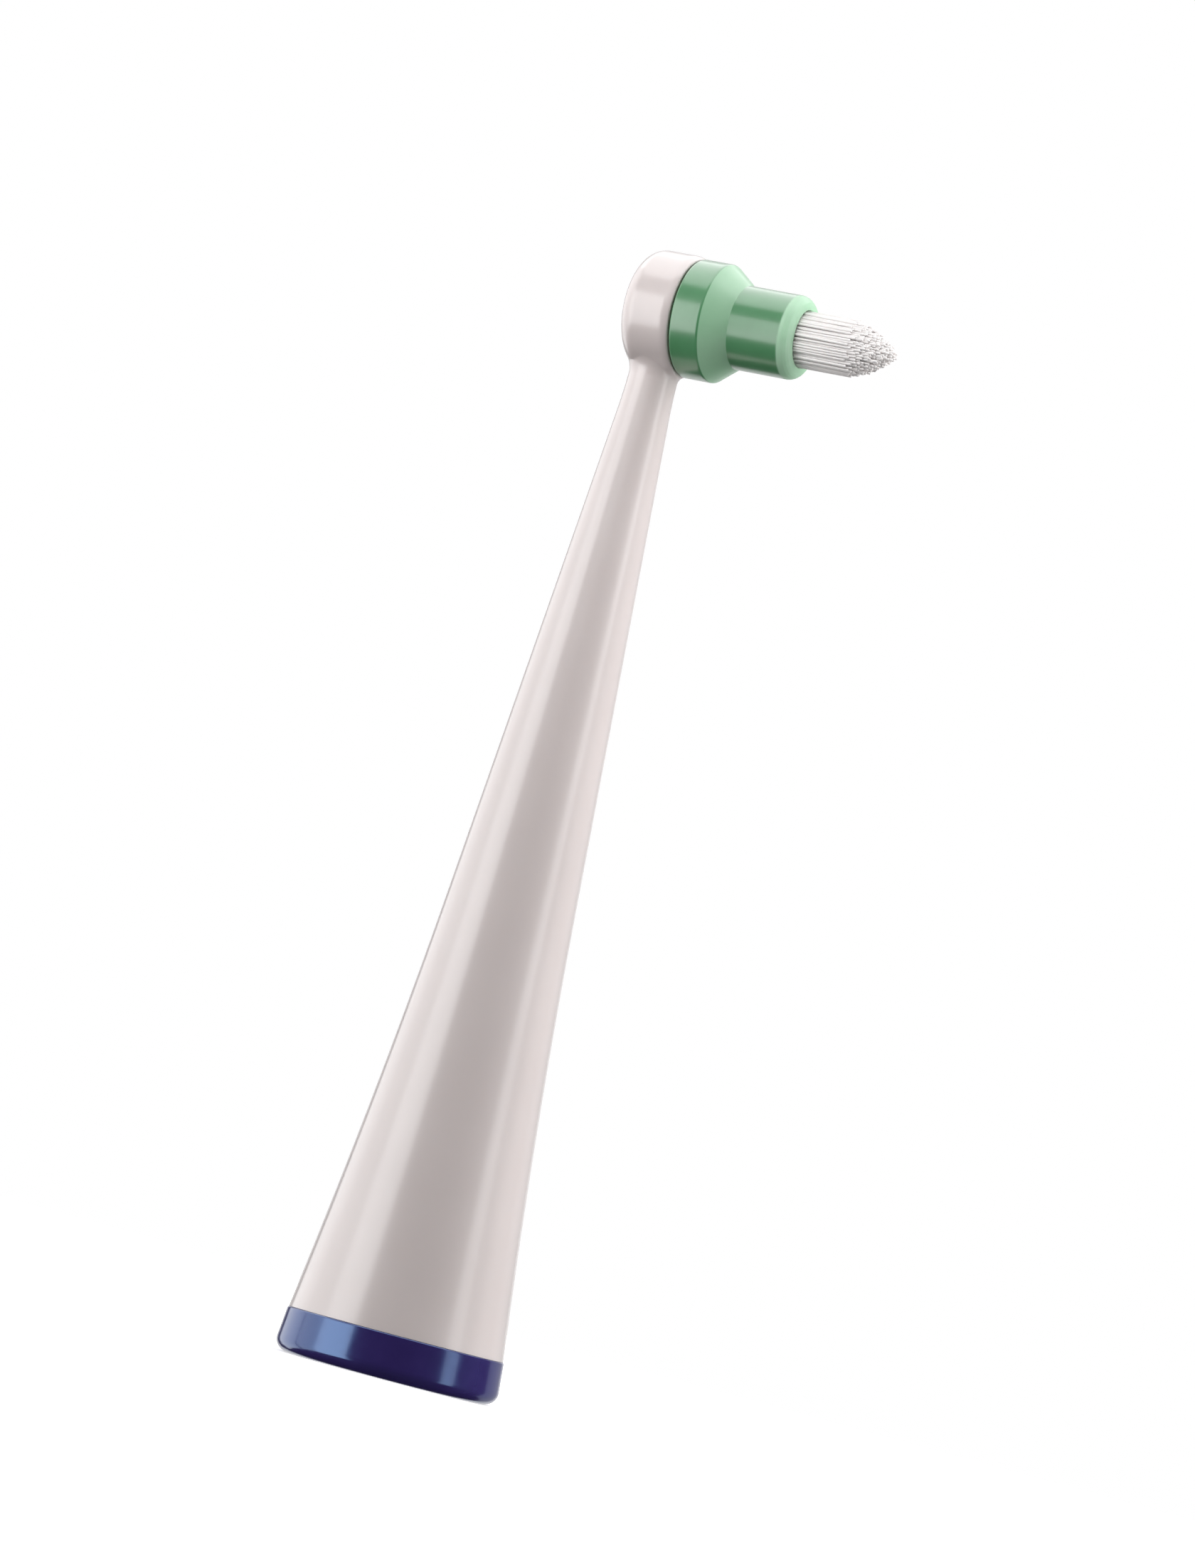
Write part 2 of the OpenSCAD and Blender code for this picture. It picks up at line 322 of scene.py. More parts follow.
RING_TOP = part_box("id_ring")[1].z
HEAD_Z = HEAD.origin.z
HEAD_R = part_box("neck_shell")[1].z - HEAD_Z
FLANGE_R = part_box("tuft_carrier")[1].y
AXLE_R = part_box("axle_pin")[1].y
LOCK_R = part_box("retaining_pin")[1].y
LOCK_X = (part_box("retaining_pin")[0].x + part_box("retaining_pin")[1].x) / 2
BACK_X = face_place("neck_shell", HEAD, 0.5 * HEAD_R, 1)
RIM_X = face_place("neck_shell", HEAD, 0.9 * HEAD_R, -1)
CUP_R = inner_radius("neck_shell", HEAD, 0.5 * RIM_X)
CUP_X = face_place("neck_shell", HEAD, 0.6 * HEAD_R, -1)
BOSS_R = 2 * AXLE_R       # boss round the axle, as in the frame
BOSS_X = face_place("neck_shell", HEAD, 1.5 * AXLE_R, -1)
SLIP = 0.01 * MM          # gap round a fixed pin
ROOM = 0.02 * MM          # gap between pieces that sit in each other
RUN = 0.03 * MM           # gap round the axle, which turns in its bore


# ---------------------------------------------------------------- neck and head

NECK_OUTLINE = outline("neck_shell", NECK, HEAD_Z - 1.3 * HEAD_R)
STEP = next(i for i, corner in enumerate(NECK_OUTLINE) if corner[0] > NECK_OUTLINE[0][0] + 0.1 * MM)
SPIGOT, SIDE_LINE = NECK_OUTLINE[:STEP], np.array(NECK_OUTLINE[STEP:])
NECK_R, NECK_Z = SIDE_LINE[-1]
BACK_ROUND = 1.3 * MM     # rounding of the head's back edge
RIM_ROUND = 1.0 * MM      # soft turn of the head's wall towards its rim
RIM_TURN = math.radians(37)         # how far it has turned where the rim's face cuts it off
RIM_EDGE = 0.08 * MM      # broken edge of the rim's face
WEB_ROUND = 1.6 * MM      # fillet that spreads the neck sideways into the head
WEB_OUT = NECK_R + WEB_ROUND
WEB_Z = HEAD_Z - math.sqrt((HEAD_R + WEB_ROUND) ** 2 - WEB_OUT ** 2)
WEB_TOP = WEB_Z + WEB_ROUND * (HEAD_Z - WEB_Z) / (HEAD_R + WEB_ROUND)
WEB_LOW_X = BACK_X + 0.3 * MM
WEB_HIGH_X = RIM_X - 0.12 * MM
WEB_EDGE = 0.5 * MM       # soft edge where the fillet meets the head's back and rim
NECK_END = HEAD_Z - HEAD_R + 1.0 * MM     # where the neck's own form ends, inside the head
NECK_JOIN = 0.45 * MM     # soft corner between neck and head
CELL = 0.1 * MM           # size of the quads of the head's surface


def eased_side(span=3 * MM, parts=12):
    """(heights, radii) of the neck's side, with the turns between the frame's rings evened out."""
    step = span / parts
    heights = np.arange(SIDE_LINE[0, 1] - span, NECK_Z + 2 * span, step)
    radii = np.interp(heights, SIDE_LINE[:, 1], SIDE_LINE[:, 0])
    slope = (SIDE_LINE[1, 0] - SIDE_LINE[0, 0]) / (SIDE_LINE[1, 1] - SIDE_LINE[0, 1])
    radii += slope * np.minimum(heights - SIDE_LINE[0, 1], 0)
    return heights[parts // 2:-parts // 2], np.convolve(radii, np.ones(parts + 1) / (parts + 1), "valid")


SIDE_HEIGHTS, SIDE_RADII = eased_side()


def neck_radius(z):
    """Radius of the neck at a height, or at an array of them."""
    return np.interp(z, SIDE_HEIGHTS, SIDE_RADII)


def head_distance(p):
    """Distance to the outside of the round head."""
    across = np.hypot(p[:, 1], p[:, 2] - HEAD_Z)
    far_x = RIM_X + RIM_ROUND * (1 - math.sin(RIM_TURN))
    middle, half = (BACK_X + far_x) / 2, (far_x - BACK_X) / 2
    turn = np.where(p[:, 0] < middle, BACK_ROUND, RIM_ROUND)
    r = across - (HEAD_R - turn)
    x = np.abs(p[:, 0] - middle) - (half - turn)
    wall = np.hypot(np.maximum(r, 0), np.maximum(x, 0)) + np.minimum(np.maximum(r, x), 0) - turn
    return trimmed(wall, p[:, 0] - RIM_X, RIM_EDGE)


def shell_distance(p):
    """Distance to the outside of the upper neck, the head and the fillet between them."""
    out = np.hypot(p[:, 0], p[:, 1])
    neck = np.maximum(out - neck_radius(p[:, 2]), p[:, 2] - NECK_END)
    whole = merged(neck, head_distance(p), NECK_JOIN)
    slab = np.abs(p[:, 0] - (WEB_LOW_X + WEB_HIGH_X) / 2) - (WEB_HIGH_X - WEB_LOW_X) / 2
    web = trimmed(WEB_ROUND - np.hypot(out - WEB_OUT, p[:, 2] - WEB_Z), slab, WEB_EDGE)
    near = (p[:, 2] > WEB_Z) & (p[:, 2] < WEB_TOP) & (out < WEB_OUT)
    whole = np.where(near, np.minimum(whole, web), whole)
    # Nothing passes the rim's plane beside the carrier's flange
    below = np.maximum(HEAD_Z - FLANGE_R - p[:, 2], 0)
    return np.maximum(whole, p[:, 0] - RIM_X - 0.5 * below)


def bar(name, radius, axis, low, high, sides=48):
    """A round bar along an axis."""
    return turned(name, [(0, low), (radius, low), (radius, high), (0, high)], axis, sides)


def neck_hollow():
    """The space inside the shell: seat, tapered hollow, bush seat and rod tunnel."""
    near = 0.02 * MM
    bush_low, bush_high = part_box("neck_bush")[0].z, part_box("neck_bush")[1].z
    below = -1 * MM
    cone_top = RING_TOP + 7.4 * MM      # the seat's mouth narrows as a cone up to here
    seat_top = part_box("socket_insert")[1].z + near
    bush_seat = bush_low + 0.8 * MM     # top of the bush's wide foot
    tunnel_top = HEAD_Z - CUP_R + 0.7 * MM
    heights = [below, RING_TOP, cone_top, seat_top - 0.1 * MM, seat_top + near,
               bush_seat - near, bush_seat + near, bush_high - near, bush_high + 2 * near, tunnel_top]
    # The first and last radii are measured a little way in, where the wall is plain
    probes = [1 * MM, RING_TOP - near] + heights[2:-1] + [HEAD_Z - HEAD_R - 1 * MM]
    radii = [inner_radius("neck_shell", NECK, z) for z in probes]
    return turned("hollow", [(0, below), *zip(radii, heights), (0, tunnel_top)], NECK, 96)


def make_shell():
    """The neck as a turned mesh, sewn to the head's blended surface, then hollowed."""
    margin = 5 * CELL
    low_z = HEAD_Z - 2.2 * HEAD_R
    join_z = low_z + margin
    low = np.array([BACK_X - margin, -HEAD_R - margin, low_z])
    high = np.array([RIM_X + 8 * CELL, HEAD_R + margin, HEAD_Z + HEAD_R + margin])
    points, quads = surface_of(shell_distance, low, high, CELL)
    bm = bmesh.new()
    vertices = [bm.verts.new(p) for p in points]
    for quad in quads:
        bm.faces.new([vertices[i] for i in quad])
    everything = bm.verts[:] + bm.edges[:] + bm.faces[:]
    bmesh.ops.bisect_plane(bm, geom=everything, dist=1e-7, plane_co=(0, 0, join_z),
                           plane_no=(0, 0, 1), clear_inner=True)
    upper = [v for v in bm.verts if abs(v.co.z - join_z) < 1e-7]
    heights = np.linspace(RING_TOP, join_z - CELL, 90)
    side = [(float(neck_radius(z)), z) for z in heights]
    foot = [(0, SPIGOT[0][1]), *SPIGOT, side[0], side[1]]
    points = softened(foot, 0.05 * MM)[:-1] + side[1:]
    rings = add_rings(bm, points, NECK)
    stitch(bm, rings[-1], upper)
    shell = finished("shell", bm)
    cup = turned("cup", [(BOSS_R, CUP_X), (CUP_R, CUP_X), (CUP_R, RIM_X + MM), (0, RIM_X + MM),
                         (0, BOSS_X), (BOSS_R, BOSS_X)], HEAD, 128)
    axle_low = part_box("axle_pin")[0].x - SLIP
    axle_hole = bar("axle_hole", AXLE_R + SLIP, HEAD, axle_low, RIM_X)
    top = Axis((LOCK_X, 0, HEAD_Z), (0, 0, 1), (1, 0, 0))
    pin_hole = bar("pin_hole", LOCK_R + SLIP, top, 0.5 * HEAD_R, HEAD_R + MM)
    carve(shell, cup, neck_hollow(), axle_hole, pin_hole)
    return shell


# ---------------------------------------------------------------- ring

def make_ring():
    """The ring, with its bore, the lip under the shell's foot and softened edges."""
    same = 2e-6
    corners = outline("id_ring", NECK)
    lip_top = SPIGOT[0][1] - ROOM
    lip_r = inner_radius("id_ring", NECK, lip_top / 2)
    bore_r = inner_radius("id_ring", NECK, RING_TOP / 2)
    inside = [(bore_r, RING_TOP), (bore_r, lip_top), (lip_r, lip_top), (lip_r, 0)]
    whole = [(lip_r, 0.3 * lip_top), (lip_r, 0)] + corners + inside
    clean = [p for p, q in zip(whole, whole[1:] + whole[:1]) if math.dist(p, q) > same]
    return turned("ring", softened(clean, 0.09 * MM), NECK, 192)


# ---------------------------------------------------------------- carrier

END_ROOM = 0.15 * MM      # how far the axle's bore and the ball's slot go past what runs in them


def make_carrier():
    """The carrier, with its softened outline, and its bore, well and slot cut out."""
    corners = outline("tuft_carrier", HEAD)
    whole = [(0, corners[0][1])] + corners + [(0, corners[-1][1])]
    carrier = turned("carrier", softened(whole, 0.04 * MM), HEAD, 192)
    axle_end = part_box("axle_pin")[1].x
    root_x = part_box("tuft")[0].x - ROOM
    root_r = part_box("tuft")[1].y + ROOM
    root_l = 0.54 * MM
    tip_x = corners[-1][1]
    well_r = inner_radius("tuft_carrier", HEAD, tip_x - MM)
    bore = bar("bore", AXLE_R + RUN, HEAD, corners[0][1] - MM, axle_end + END_ROOM)
    # The well opens in a small chamfer at the nose's front
    lip = 0.06 * MM
    well = turned("well", [(0, root_x), (root_r, root_x), (root_r, root_x + root_l),
                           (well_r, root_x + root_l), (well_r, tip_x - lip), (well_r + lip, tip_x),
                           (well_r + lip, tip_x + MM), (0, tip_x + MM)], HEAD, 128)
    carve(carrier, bore, well, make_slot())
    return carrier


def make_slot():
    """The radial slot for the rod's ball, as a cutter with round ends."""
    half = 0.6 * MM           # the ball and its gap
    low = HEAD_Z - 3.42 * MM
    high = HEAD_Z - 2 * MM
    ball_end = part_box("drive_rod")[1].x
    steps = 16                # in each round end
    bm = bmesh.new()
    loops = []
    for x in (RIM_X - 0.2 * MM, ball_end + END_ROOM):
        loop = []
        for centre, first in ((high - half, 0.0), (low + half, math.pi)):
            for i in range(steps + 1):
                angle = first + math.pi * i / steps
                loop.append(bm.verts.new((x, half * math.cos(angle), centre + half * math.sin(angle))))
        loops.append(loop)
        bm.faces.new(loop)
    add_band(bm, loops[0], loops[1], len(loops[0]))
    return finished("slot", bm)


def zone_places():
    """Where the carrier's cone starts and ends, and where its front starts to round."""
    beyond = [corner for corner in outline("tuft_carrier", HEAD) if corner[1] > RIM_X + MM]
    cone_low = next(place for radius, place in beyond if radius < FLANGE_R - 0.02 * MM)
    straight = max(zip(beyond[1:], beyond[2:]), key=lambda pair: pair[1][1] - pair[0][1])
    return cone_low, straight[0][1], straight[1][1]


CONE_PLACES = zone_places()
EDGE = 0.04 * MM          # width over which the deep green gives way to the rougher mint with its painted light
CONE_SHARE = 0.68         # how much of the front's rougher finish and painted lighter tint the cone has


# ---------------------------------------------------------------- tuft

FILAMENT_R = 0.09 * MM
PITCH = 0.192 * MM        # between neighbouring bristles at the root
LEAN = 0.05 * MM          # how far neighbours lean together at their ends
LEAN_SPAN = 0.5 * MM      # about how far apart bristles lean differently
STRAY = 0.025             # each one's own lean at its end, a standard deviation in millimetres
BOW = 0.02                # and its bow at the middle


def make_tuft():
    """Every filament of the bundle, with rounded ends, standing in its fused root."""
    corners = outline("tuft", HEAD)
    root_r, root_x = corners[0]
    root_end = next(place for radius, place in corners if radius < root_r - 0.1 * MM)
    bundle_r = inner_radius("tuft_carrier", HEAD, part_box("tuft_carrier")[1].x - MM) - 2 * ROOM
    tip_places = np.array([place for radius, place in corners if place > root_end + MM])
    tip_radii = np.array([radius for radius, place in corners if place > root_end + MM])
    bm = bmesh.new()
    button = softened([(0, root_x), (root_r, root_x), (root_r, root_end), (bundle_r, root_end + 0.15 * MM),
                       (0, root_end + 0.2 * MM)], 0.08 * MM)
    add_rings(bm, button, HEAD, 64)
    random.seed(7)
    noise.seed_set(7)
    loose = 0.1               # how far a bristle stands from its place, in pitches
    uneven = 0.28             # how much the ends differ in millimetres
    reach = 2 * (int(bundle_r / PITCH) + 2)
    for row in range(-reach, reach + 1):
        for column in range(-reach, reach + 1):
            y = (column + 0.5 * (row % 2)) * PITCH + random.uniform(-loose, loose) * PITCH
            z = row * PITCH * math.sqrt(0.75) + random.uniform(-loose, loose) * PITCH
            out = math.hypot(y, z)
            if out > bundle_r - FILAMENT_R:
                continue
            end = float(np.interp(-(out + 0.5 * FILAMENT_R), -tip_radii, tip_places))
            end -= random.uniform(0, uneven) * MM
            add_filament(bm, y, z, root_end, end)
    return finished("tuft_bundle", bm, 60)


def add_filament(bm, y, z, start, end):
    """One filament from the root to its end, a little bent, with a rounded end."""
    sides = 8
    lean = noise.noise_vector(Vector((y, z, 0)) / LEAN_SPAN) * LEAN
    wander = Vector((0, random.gauss(0, STRAY), random.gauss(0, STRAY))) * MM
    middle = Vector((0, random.gauss(0, BOW), random.gauss(0, BOW))) * MM
    stations = [(t, 1.0) for t in (0.0, 0.25, 0.5, 0.75)]
    length = end - start
    cap = FILAMENT_R / length
    stations += [(1 - cap * (1 - math.sin(a)), math.cos(a)) for a in (0.0, 0.5, 1.0)]
    rings = []
    for t, width in stations:
        bend = (Vector((0, lean.y, lean.z)) + wander) * t * t + middle * math.sin(math.pi * t)
        centre = Vector((start + length * t, y, z)) + bend
        centre.z += HEAD_Z
        ring = []
        for i in range(sides):
            angle = TAU * i / sides
            spoke = Vector((0, math.cos(angle), math.sin(angle))) * FILAMENT_R * width
            ring.append(bm.verts.new(centre + spoke))
        rings.append(ring)
    for a, b in zip(rings, rings[1:]):
        add_band(bm, a, b, sides)
    bm.faces.new(rings[-1])
    bm.faces.new(rings[0])


# ---------------------------------------------------------------- materials

class Finish:
    """A procedural material: a principled shader with noise for its colour, gloss and relief."""

    def __init__(self, name, **constants):
        self.material = bpy.data.materials.new(name)
        self.material.use_nodes = True
        self.tree = self.material.node_tree
        self.shader = self.tree.nodes["Principled BSDF"]
        self.place = self.add("ShaderNodeTexCoord").outputs["Object"]
        for socket, value in constants.items():
            self.shader.inputs[socket.replace("_", " ")].default_value = value

    def add(self, kind, **settings):
        node = self.tree.nodes.new(kind)
        for key, value in settings.items():
            setattr(node, key, value)
        return node

    def link(self, source, target):
        self.tree.links.new(source, target)

    def grain(self, size, detail=3.0, stretch=(1, 1, 1)):
        """Noise with features of about a size in metres, longer where stretch is above 1."""
        scaled = self.add("ShaderNodeMapping")
        scaled.inputs["Scale"].default_value = [1 / (size * s) for s in stretch]
        self.link(self.place, scaled.inputs["Vector"])
        made = self.add("ShaderNodeTexNoise")
        made.inputs["Scale"].default_value = 1.0
        made.inputs["Detail"].default_value = detail
        self.link(scaled.outputs["Vector"], made.inputs["Vector"])
        return made.outputs["Fac"]

    def spread(self, source, low, high, start=0.3, stop=0.7):
        """A value that goes from low to high while its source goes from start to stop."""
        made = self.add("ShaderNodeMapRange")
        for socket, value in (("From Min", start), ("From Max", stop), ("To Min", low), ("To Max", high)):
            made.inputs[socket].default_value = value
        self.link(source, made.inputs["Value"])
        return made.outputs["Result"]

    def mixed(self, share, one, other):
        """One colour going over to another. Each is a plain colour or another node's output."""
        made = self.add("ShaderNodeMix", data_type="RGBA")
        targets = [socket for socket in made.inputs if socket.type == "RGBA"]
        for target, value in zip(targets, (one, other)):
            if isinstance(value, tuple):
                target.default_value = (*value, 1)
            else:
                self.link(value, target)
        self.link(share, made.inputs[0])
        return next(socket for socket in made.outputs if socket.type == "RGBA")

    def blend(self, source, one, other):
        """A colour that wanders between two tints with a noise."""
        return self.mixed(self.spread(source, 0, 1), one, other)

    def colour(self, source):
        self.link(source, self.shader.inputs["Base Color"])

    def tint(self, source, one, other):
        self.colour(self.blend(source, one, other))

    def gloss(self, source, low, high, start=0.3, stop=0.7):
        self.link(self.spread(source, low, high, start, stop), self.shader.inputs["Roughness"])

    def place_along_x(self):
        split = self.add("ShaderNodeSeparateXYZ")
        self.link(self.place, split.inputs["Vector"])
        return split.outputs["X"]

    def compared(self, operation, a, b):
        made = self.add("ShaderNodeMath", operation=operation)
        self.link(a, made.inputs[0])
        self.link(b, made.inputs[1])
        return made.outputs["Value"]

    def both(self, a, b):
        """The smaller of two shares."""
        return self.compared("MINIMUM", a, b)

    def either(self, a, b):
        """The larger of two shares."""
        return self.compared("MAXIMUM", a, b)

    def relief(self, *layers):
        """Bump from (noise, height in metres) layers."""
        normal = None
        for source, height in layers:
            made = self.add("ShaderNodeBump")
            made.inputs["Distance"].default_value = height
            made.inputs["Strength"].default_value = 1.0
            self.link(source, made.inputs["Height"])
            if normal is not None:
                self.link(normal, made.inputs["Normal"])
            normal = made.outputs["Normal"]
        self.link(normal, self.shader.inputs["Normal"])


def white_plastic():
    made = Finish("white_plastic", IOR=1.5, Specular_IOR_Level=1.0, Subsurface_Weight=0.12,
                  Subsurface_Scale=0.6 * MM, Subsurface_Radius=(1.0, 0.85, 0.75),
                  Coat_Weight=1.0, Coat_Roughness=0.17, Coat_IOR=1.5)
    made.tint(made.grain(5 * MM, 0), (0.708, 0.634, 0.622), (0.722, 0.648, 0.636))
    made.gloss(made.grain(1.6 * MM, 2), 0.29, 0.34)
    made.relief((made.grain(2.5 * MM, 1), 0.001 * MM), (made.grain(0.15 * MM, 1), 0.00005 * MM))
    return made.material


def indigo_plastic():
    made = Finish("indigo_plastic", IOR=1.8, Specular_IOR_Level=1.0, Specular_Tint=(0.28, 0.55, 1.0, 1.0),
                  Coat_Weight=0.6, Coat_Roughness=0.1, Coat_IOR=1.45)
    made.tint(made.grain(2 * MM), (0.034, 0.021, 0.125), (0.040, 0.026, 0.145))
    made.gloss(made.grain(0.6 * MM, 2), 0.16, 0.22)
    made.relief((made.grain(1.8 * MM, 1), 0.001 * MM), (made.grain(0.1 * MM, 2), 0.0001 * MM))
    return made.material


def green_plastic():
    """Deep green where the carrier is turned smooth. Rougher on its grained cone and front, with a lighter
    mint there that is painted light, standing in for the light that falls on them.
    """
    cone_low, cone_high, front = CONE_PLACES
    made = Finish("green_plastic", IOR=1.55, Specular_IOR_Level=0.8, Subsurface_Weight=0.1,
                  Subsurface_Scale=0.4 * MM, Subsurface_Radius=(0.5, 1.0, 0.6),
                  Coat_Roughness=0.2, Coat_IOR=1.62)
    grain = made.grain(1.5 * MM)
    smooth = made.blend(grain, (0.076, 0.258, 0.112), (0.088, 0.285, 0.128))
    # The mint is painted light: a lighter tint that stands in for the light falling on the cone and the
    # rounded front
    painted_light_mint = made.blend(grain, (0.38, 0.64, 0.43), (0.42, 0.68, 0.47))
    along = made.place_along_x()
    on_cone = made.both(made.spread(along, 0, CONE_SHARE, cone_low - EDGE, cone_low),
                        made.spread(along, CONE_SHARE, 0, cone_high, cone_high + EDGE))
    # This share sets both the rougher finish and the painted lighter tint (painted light) of the cone and
    # front
    rough = made.either(on_cone, made.spread(along, 0, 1, front - 2 * EDGE, front + EDGE))
    made.colour(made.mixed(rough, smooth, painted_light_mint))
    made.link(made.spread(rough, 1, 0.3, 0, 1), made.shader.inputs["Coat Weight"])
    made.gloss(rough, 0.32, 0.5, 0, 1)
    made.relief((made.grain(1.2 * MM, 1), 0.001 * MM), (made.grain(0.07 * MM, 2), 0.0003 * MM))
    return made.material


def nylon():
    made = Finish("nylon", IOR=1.53, Subsurface_Weight=0.2, Subsurface_Scale=0.1 * MM,
                  Subsurface_Radius=(1.0, 0.95, 0.92))
    made.tint(made.grain(0.22 * MM, 2, (12, 1, 1)), (0.97, 0.93, 0.92), (0.995, 0.97, 0.962))
    made.gloss(made.grain(0.1 * MM, 3, (8, 1, 1)), 0.3, 0.45)
    made.relief((made.grain(0.05 * MM, 2, (10, 1, 1)), 0.0008 * MM))
    return made.material


def pale_plastic(name, one, other, rough):
    made = Finish(name, IOR=1.49, Subsurface_Weight=0.1, Subsurface_Scale=0.4 * MM)
    made.tint(made.grain(2 * MM), one, other)
    made.gloss(made.grain(0.3 * MM, 4), rough - 0.06, rough + 0.08)
    made.relief((made.grain(0.09 * MM, 3), 0.0015 * MM))
    return made.material


def steel(name, one, other, size, stretch):
    """Metal with fine lines, longer along the axes where stretch is above 1."""
    made = Finish(name, Metallic=1.0)
    made.tint(made.grain(3 * size), one, other)
    made.gloss(made.grain(size, 3, stretch), 0.18, 0.26)
    made.relief((made.grain(size, 2, stretch), 0.0006 * MM))
    return made.material


# ---------------------------------------------------------------- pieces

def piece(made, body, slot, material, *nodes):
    """Gives a new mesh its material and its body, and hides the CAD nodes that it replaces. The slot is
    not used.
    """
    made.data.materials.clear()
    made.data.materials.append(material)
    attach(made, body)
    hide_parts(*nodes)


def keep(node, material, edge):
    """A CAD node as it is, with its edges broken and its own finish."""
    made = frame["nodes"][node]
    weld = made.modifiers.new("weld", "WELD")
    weld.merge_threshold = 1e-7
    bevel = made.modifiers.new("edges", "BEVEL")
    bevel.width, bevel.segments, bevel.angle_limit = edge, 2, math.radians(35)
    bevel.limit_method = "ANGLE"
    made.modifiers.new("normals", "WEIGHTED_NORMAL").keep_sharp = True
    made.data.materials.clear()
    made.data.materials.append(material)


piece(make_shell(), "neck", "white_shell", white_plastic(), "neck_shell")
piece(make_ring(), "neck", "blue_ring", indigo_plastic(), "id_ring")
piece(make_carrier(), "carrier", "green_carrier", green_plastic(), "tuft_carrier")
piece(make_tuft(), "carrier", "nylon", nylon(), "tuft")

pale = pale_plastic("pale_plastic", (0.62, 0.61, 0.60), (0.66, 0.65, 0.64), 0.45)
acetal = pale_plastic("acetal_plastic", (0.70, 0.70, 0.67), (0.76, 0.76, 0.73), 0.38)
ground = steel("ground_steel", (0.56, 0.56, 0.57), (0.64, 0.64, 0.65), 0.05 * MM, (1, 1, 14))
spring = steel("spring_strip", (0.50, 0.51, 0.53), (0.60, 0.61, 0.63), 0.06 * MM, (10, 10, 1))
keep("socket_insert", pale, 0.04 * MM)
keep("neck_bush", pale, 0.04 * MM)
keep("rod_coupler", acetal, 0.04 * MM)
keep("drive_rod", ground, 0.02 * MM)
keep("axle_pin", ground, 0.05 * MM)
keep("retaining_pin", ground, 0.05 * MM)
keep("coupler_clip", spring, 0.03 * MM)


# ---------------------------------------------------------------- camera, light and floor

VIEW_AZIMUTH = 24.5
VIEW_ELEVATION = -5.0
VIEW_ROLL = 15.0
VIEW_DISTANCE = 400 * MM
VIEW_HEIGHT = 0.5363 * cad_high.z     # of the point in the middle of the picture
VIEW_RIGHT = 3.55 * MM                # how far that point is to the right of the neck's axis
LENS = 133.8                          # in millimetres, as Blender has it
FAR = 500 * MM                        # from the object to a panel
NEAR = 120 * MM                       # from the head to the panels that light it


def towards(azimuth, elevation):
    """Unit vector from the object; azimuth 0 is -Y, where the camera of view 0 stands."""
    a, e = math.radians(azimuth), math.radians(elevation)
    return Vector((math.sin(a) * math.cos(e), -math.cos(a) * math.cos(e), math.sin(e)))


def make_camera():
    """The camera, a little above the floor and rolled, so that the neck leans to the right."""
    a = math.radians(VIEW_AZIMUTH)
    right = Vector((math.cos(a), math.sin(a), 0))
    aim = Vector((0, 0, VIEW_HEIGHT)) + right * VIEW_RIGHT
    data = bpy.data.cameras.new("camera")
    data.lens, data.sensor_width = LENS, 36
    data.clip_start, data.clip_end = 0.01, 10
    camera = bpy.data.objects.new("camera", data)
    bpy.context.scene.collection.objects.link(camera)
    back = towards(VIEW_AZIMUTH, VIEW_ELEVATION)
    camera.location = aim + back * VIEW_DISTANCE
    camera.rotation_mode = "QUATERNION"
    look = (-back).to_track_quat("-Z", "Y").to_matrix()
    roll = Matrix.Rotation(math.radians(VIEW_ROLL), 3, "Z")
    camera.rotation_quaternion = (look @ roll).to_quaternion()
    bpy.context.scene.camera = camera


def softbox(name, azimuth, elevation, width, height, radiance, distance=FAR, aim=None):
    """A panel that faces a point, as many degrees wide and high from there as it says."""
    data = bpy.data.lights.new(name, "AREA")
    data.shape = "RECTANGLE"
    data.size = 2 * distance * math.tan(math.radians(width) / 2)
    data.size_y = 2 * distance * math.tan(math.radians(height) / 2)
    data.energy = radiance * math.pi * data.size * data.size_y
    lamp = bpy.data.objects.new(name, data)
    bpy.context.scene.collection.objects.link(lamp)
    back = towards(azimuth, elevation)
    lamp.location = (aim or Vector((0, 0, 0.5 * cad_high.z))) + back * distance
    lamp.rotation_mode = "QUATERNION"
    lamp.rotation_quaternion = (-back).to_track_quat("-Z", "Y")
    lamp.visible_camera = False
    return lamp


def make_world(fill, seen):
    """Even pale light, and white behind the object for the camera."""
    world = bpy.data.worlds.new("studio")
    bpy.context.scene.world = world
    world.use_nodes = True
    tree = world.node_tree
    near, far = tree.nodes["Background"], tree.nodes.new("ShaderNodeBackground")
    near.inputs["Color"].default_value = (*fill, 1)
    far.inputs["Color"].default_value = (*seen, 1)
    paths, mix = tree.nodes.new("ShaderNodeLightPath"), tree.nodes.new("ShaderNodeMixShader")
    tree.links.new(paths.outputs["Is Camera Ray"], mix.inputs["Fac"])
    tree.links.new(near.outputs["Background"], mix.inputs[1])
    tree.links.new(far.outputs["Background"], mix.inputs[2])
    tree.links.new(mix.outputs["Shader"], tree.nodes["World Output"].inputs["Surface"])


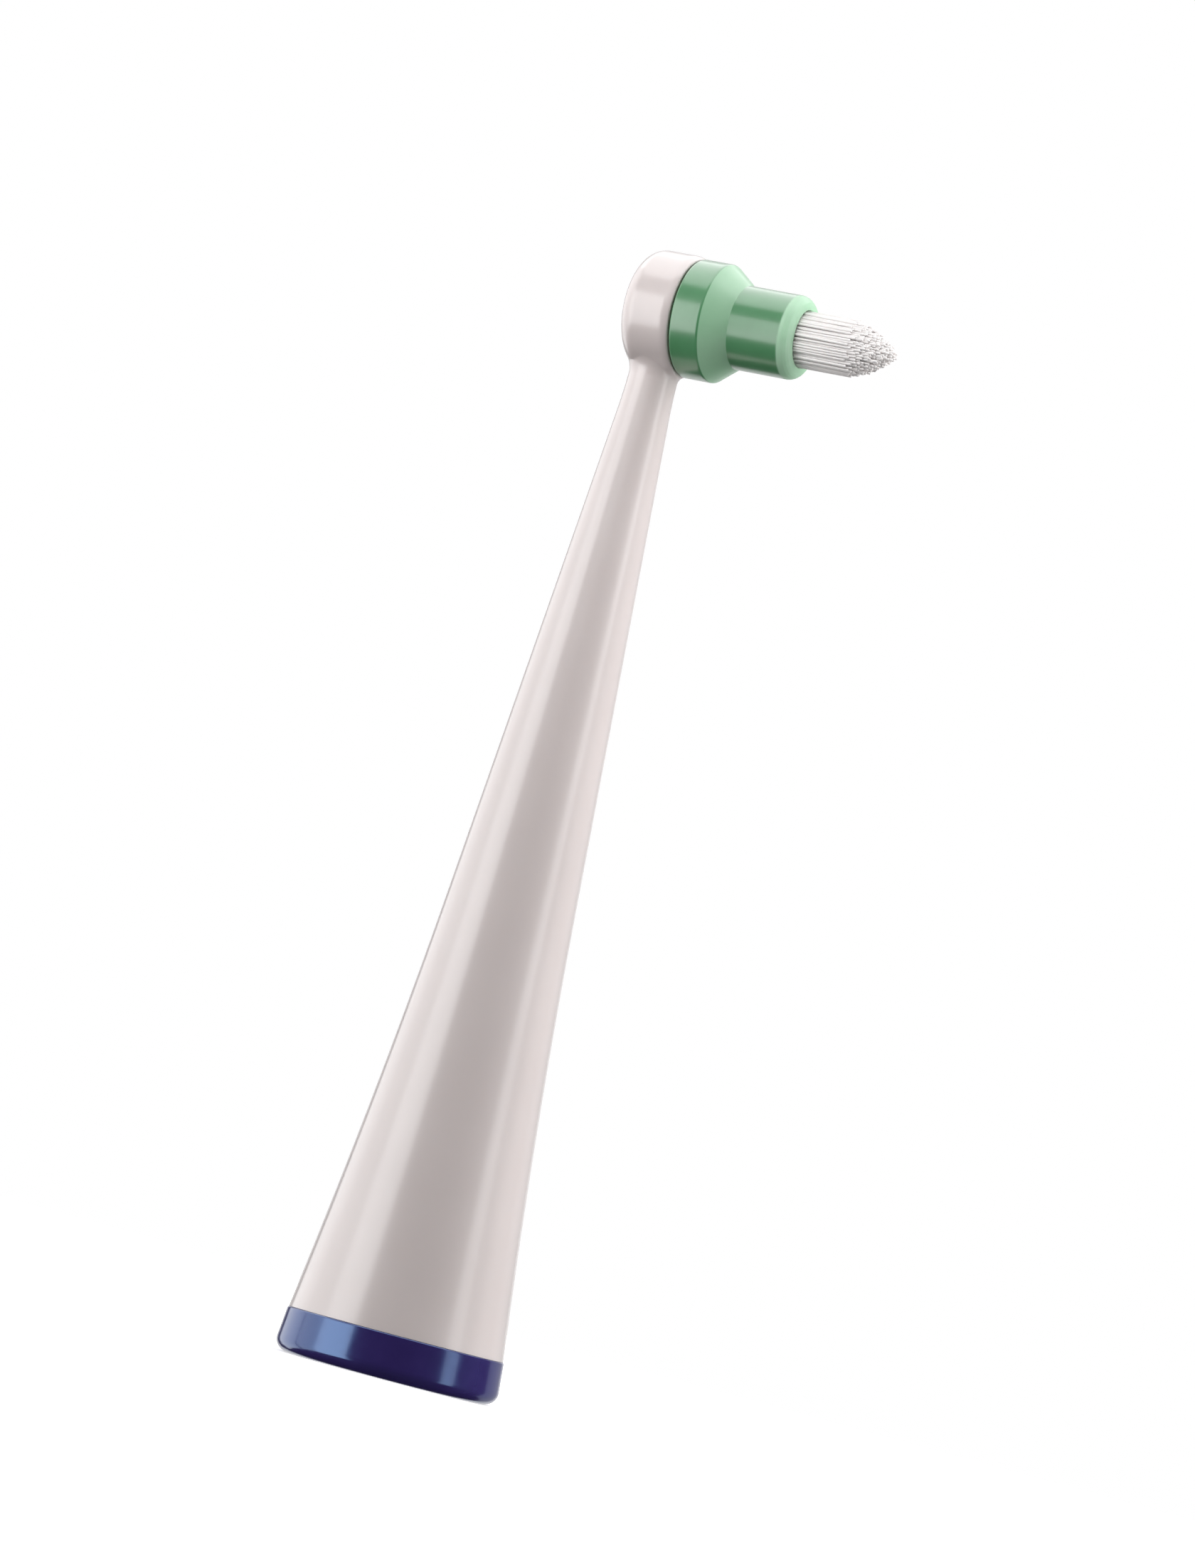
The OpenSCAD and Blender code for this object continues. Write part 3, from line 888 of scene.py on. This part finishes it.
def make_floor():
    """Pale paper that glows to white away from the object, so that no horizon shows."""
    half = 600 * MM
    below = 0.02 * MM
    glow_start, glow_full = 30 * MM, 120 * MM
    bm = bmesh.new()
    corners = ((-half, -half), (half, -half), (half, half), (-half, half))
    bm.faces.new([bm.verts.new((x, y, -below)) for x, y in corners])
    floor = finished("floor", bm)
    made = Finish("floor_paper", Roughness=0.9)
    made.tint(made.grain(20 * MM), (0.86, 0.85, 0.845), (0.89, 0.88, 0.875))
    made.shader.inputs["Emission Color"].default_value = (1, 0.995, 0.99, 1)
    away = made.add("ShaderNodeVectorMath", operation="LENGTH")
    made.link(made.place, away.inputs[0])
    made.link(made.spread(away.outputs["Value"], 0.55, 1.1, glow_start, glow_full),
              made.shader.inputs["Emission Strength"])
    floor.data.materials.append(made.material)
    # The floor shows and takes shadows, but it lights nothing: the panels do that
    floor.visible_diffuse = False
    floor.visible_glossy = False
    floor.visible_shadow = False


# Panels: name, degrees round from the camera, elevation, width and height in degrees, radiance.
# These show in the gloss as well as light the object.
PANELS = [
    ("key_panel", -62, -5, 38, 54, 2.4),
    ("left_panel", -95, 8, 28, 80, 1.2),
    ("left_back_panel", -130, 8, 40, 80, 1.3),
    ("back_panel", 180, 8, 40, 80, 0.75),
    ("right_back_panel", 142, 8, 40, 80, 0.35),
    ("strip_panel", 65, 4, 16, 56, 1.3),
]
# This one shows in the gloss alone. It reaches past the top, to the far side.
SHEEN = ("top_panel", 0, 100, 80, 76, 1.9)
# These give soft light alone, which leaves no bright shapes on the gloss
SOFT_PANELS = [
    ("back_soft_panel", 180, 8, 40, 80, 0.8),
    ("right_panel", 105, 8, 30, 80, 4.0),
    ("right_front_panel", 75, 8, 40, 80, 1.1),
    ("low_panel", 0, -60, 60, 60, 0.3),
]
# And these are close to the head
HEAD_PANELS = [
    ("near_left", -30, 25, 32.5, 32.5, 5.0),
    ("near_right", 65, 20, 32.5, 32.5, 2.9),
    ("near_top", 50, 50, 32.5, 32.5, 1.8),
]


def light_panels():
    """All the panels, in the order of the lists."""
    head_point = Vector((FLANGE_R, 0, HEAD_Z))
    for name, turn, *rest in PANELS:
        softbox(name, VIEW_AZIMUTH + turn, *rest)
    name, turn, *rest = SHEEN
    softbox(name, VIEW_AZIMUTH + turn, *rest).visible_diffuse = False
    for name, turn, *rest in SOFT_PANELS:
        softbox(name, VIEW_AZIMUTH + turn, *rest).visible_glossy = False
    for name, turn, *rest in HEAD_PANELS:
        softbox(name, VIEW_AZIMUTH + turn, *rest, NEAR, head_point).visible_glossy = False


make_camera()
make_floor()
make_world((0.01, 0.01, 0.01), (1, 1, 1))
light_panels()
bpy.context.scene.view_settings.view_transform = "Standard"
